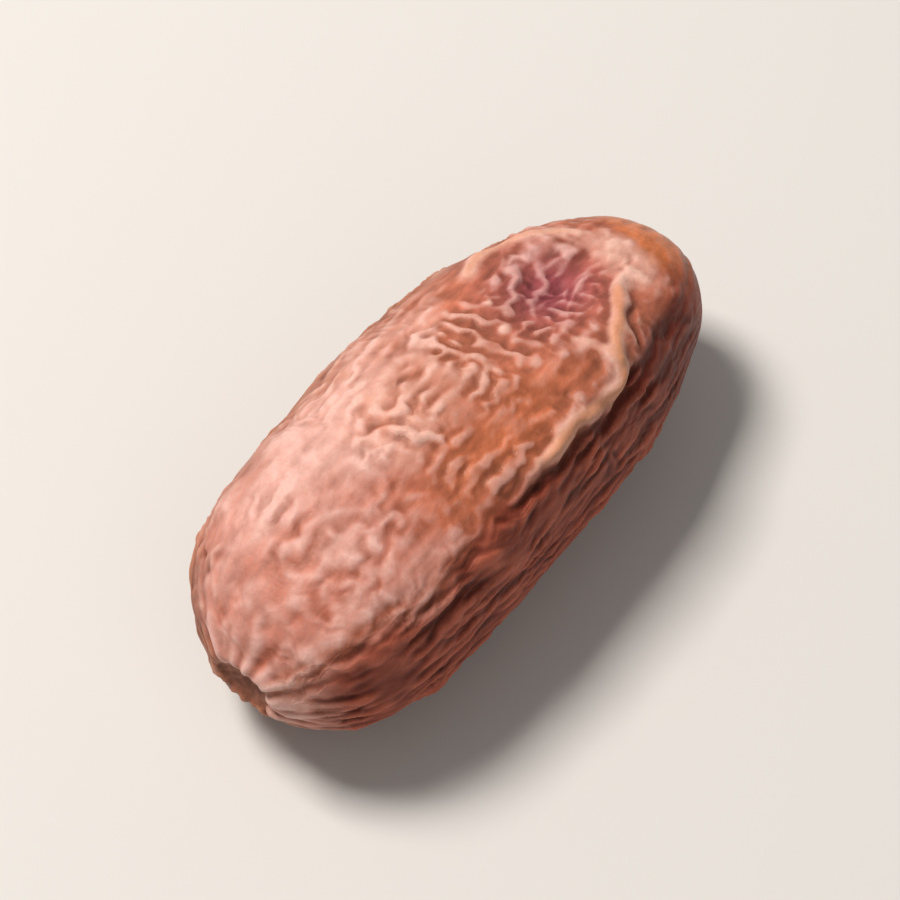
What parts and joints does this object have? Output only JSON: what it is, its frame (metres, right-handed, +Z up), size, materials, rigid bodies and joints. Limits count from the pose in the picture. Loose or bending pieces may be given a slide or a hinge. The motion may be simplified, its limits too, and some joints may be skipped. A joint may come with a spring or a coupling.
{
  "type": "date",
  "caption": "Semi-dry date with wrinkled, leathery skin and a sunken place near its tip, lying on a small flat spot of its underside.",
  "frame": {"origin": "on the resting surface, under the centre of the fruit's bounding box", "axes": "+X runs along the fruit from the stem end to the tip, +Z is up from the resting surface, +Y completes the right-handed frame"},
  "size_m": [0.0414, 0.0188, 0.0169],
  "materials": {
    "skin": "thin dried fruit skin: dusty pinkish brown on the loose wrinkles, satin amber where it clings, dark reddish brown in the folds"
  },
  "bodies": {
    "root": {"date": "skin"}
  },
  "joints": []
}
